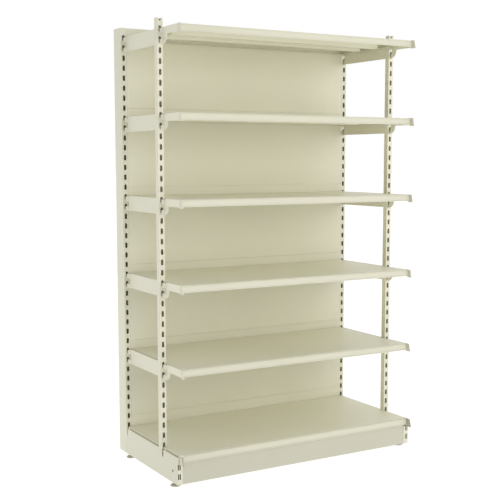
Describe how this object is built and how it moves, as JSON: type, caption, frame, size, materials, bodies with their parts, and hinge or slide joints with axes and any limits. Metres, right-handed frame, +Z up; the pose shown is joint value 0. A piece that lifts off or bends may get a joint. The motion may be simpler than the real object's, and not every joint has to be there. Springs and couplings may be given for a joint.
{
  "type": "gondola shelving unit",
  "caption": "Free-standing shop shelving bay with slotted front and rear uprights, hook-on shelves with price rails, a base deck and a kick plate.",
  "frame": {"origin": "on the floor, under the middle of the unit", "axes": "+Z up, -Y to the front where goods are taken, +X to the right as seen from the front"},
  "size_m": [1.408, 0.742, 2.22],
  "materials": {
    "frame_paint": "satin",
    "shelf_paint": "satin",
    "base_paint": "satin",
    "cap_plastic": "matte",
    "pad_plastic": "matte",
    "zinc_steel": "satin"
  },
  "bodies": {
    "frame": {"rear_upright_left": "frame_paint", "rear_upright_right": "frame_paint", "upright_caps": "cap_plastic", "front_upright_left": "frame_paint", "front_upright_right": "frame_paint", "base_leg_left": "base_paint", "base_leg_right": "base_paint", "back_panel_1": "frame_paint", "back_panel_2": "frame_paint", "back_panel_3": "frame_paint", "back_panel_4": "frame_paint", "back_panel_5": "frame_paint", "back_panel_6": "frame_paint", "cross_rail_lower": "frame_paint", "cross_rail_upper": "frame_paint", "side_arm_1_left": "frame_paint", "side_arm_2_left": "frame_paint", "side_arm_3_left": "frame_paint", "side_arm_4_left": "frame_paint", "side_arm_5_left": "frame_paint", "side_arm_1_right": "frame_paint", "side_arm_2_right": "frame_paint", "side_arm_3_right": "frame_paint", "side_arm_4_right": "frame_paint", "side_arm_5_right": "frame_paint", "nose_brackets_1": "frame_paint", "nose_brackets_2": "frame_paint", "nose_brackets_3": "frame_paint", "nose_brackets_4": "frame_paint", "nose_brackets_5": "frame_paint", "foot_nuts": "zinc_steel", "arm_bolts": "zinc_steel", "frame_screws": "zinc_steel"},
    "shelf_1_tray": {"shelf_1": "shelf_paint", "price_rail_1": "shelf_paint", "rail_caps_1": "cap_plastic"},
    "shelf_2_tray": {"shelf_2": "shelf_paint", "price_rail_2": "shelf_paint", "rail_caps_2": "cap_plastic"},
    "shelf_3_tray": {"shelf_3": "shelf_paint", "price_rail_3": "shelf_paint", "rail_caps_3": "cap_plastic"},
    "shelf_4_tray": {"shelf_4": "shelf_paint", "price_rail_4": "shelf_paint", "rail_caps_4": "cap_plastic"},
    "shelf_5_tray": {"shelf_5": "shelf_paint", "price_rail_5": "shelf_paint", "rail_caps_5": "cap_plastic"},
    "deck": {"base_deck": "base_paint", "base_price_rail": "base_paint", "base_rail_caps": "cap_plastic"},
    "kick": {"kick_plate": "base_paint"},
    "pad_front_left": {"foot_pad_front_left": "pad_plastic"},
    "stem_front_left": {"foot_stem_front_left": "zinc_steel"},
    "pad_front_right": {"foot_pad_front_right": "pad_plastic"},
    "stem_front_right": {"foot_stem_front_right": "zinc_steel"},
    "pad_rear_left": {"foot_pad_rear_left": "pad_plastic"},
    "stem_rear_left": {"foot_stem_rear_left": "zinc_steel"},
    "pad_rear_right": {"foot_pad_rear_right": "pad_plastic"},
    "stem_rear_right": {"foot_stem_rear_right": "zinc_steel"}
  },
  "joints": [
    {"name": "shelf_1_lift", "type": "slide", "parent": "frame", "child": "shelf_1_tray", "axis": [0, 0, 1], "range_m": [0, 0.1]},
    {"name": "shelf_2_lift", "type": "slide", "parent": "frame", "child": "shelf_2_tray", "axis": [0, 0, 1], "range_m": [0, 0.1]},
    {"name": "shelf_3_lift", "type": "slide", "parent": "frame", "child": "shelf_3_tray", "axis": [0, 0, 1], "range_m": [0, 0.1]},
    {"name": "shelf_4_lift", "type": "slide", "parent": "frame", "child": "shelf_4_tray", "axis": [0, 0, 1], "range_m": [0, 0.1]},
    {"name": "shelf_5_lift", "type": "slide", "parent": "frame", "child": "shelf_5_tray", "axis": [0, 0, 1], "range_m": [0, 0.1]},
    {"name": "deck_lift", "type": "slide", "parent": "frame", "child": "deck", "axis": [0, 0, 1], "range_m": [0, 0.1]},
    {"name": "kick_pull", "type": "slide", "parent": "frame", "child": "kick", "axis": [0, -1, 0], "range_m": [0, 0.03]},
    {"name": "foot_front_left_height", "type": "slide", "parent": "frame", "child": "pad_front_left", "axis": [0, 0, -1], "range_m": [0, 0.015]},
    {"name": "foot_front_left_turn", "type": "hinge", "parent": "pad_front_left", "child": "stem_front_left", "pos_m": [-0.68, -0.267, 0.012], "axis": [0, 0, -1], "range_deg": [0, 3600]},
    {"name": "foot_front_right_height", "type": "slide", "parent": "frame", "child": "pad_front_right", "axis": [0, 0, -1], "range_m": [0, 0.015]},
    {"name": "foot_front_right_turn", "type": "hinge", "parent": "pad_front_right", "child": "stem_front_right", "pos_m": [0.68, -0.267, 0.012], "axis": [0, 0, -1], "range_deg": [0, 3600]},
    {"name": "foot_rear_left_height", "type": "slide", "parent": "frame", "child": "pad_rear_left", "axis": [0, 0, -1], "range_m": [0, 0.015]},
    {"name": "foot_rear_left_turn", "type": "hinge", "parent": "pad_rear_left", "child": "stem_rear_left", "pos_m": [-0.68, 0.263, 0.012], "axis": [0, 0, -1], "range_deg": [0, 3600]},
    {"name": "foot_rear_right_height", "type": "slide", "parent": "frame", "child": "pad_rear_right", "axis": [0, 0, -1], "range_m": [0, 0.015]},
    {"name": "foot_rear_right_turn", "type": "hinge", "parent": "pad_rear_right", "child": "stem_rear_right", "pos_m": [0.68, 0.263, 0.012], "axis": [0, 0, -1], "range_deg": [0, 3600]}
  ],
  "couplings": [
    {"joint": "foot_front_left_turn", "follows": "foot_front_left_height", "rad_per_m": 4188.8},
    {"joint": "foot_front_right_turn", "follows": "foot_front_right_height", "rad_per_m": 4188.8},
    {"joint": "foot_rear_left_turn", "follows": "foot_rear_left_height", "rad_per_m": 4188.8},
    {"joint": "foot_rear_right_turn", "follows": "foot_rear_right_height", "rad_per_m": 4188.8}
  ]
}
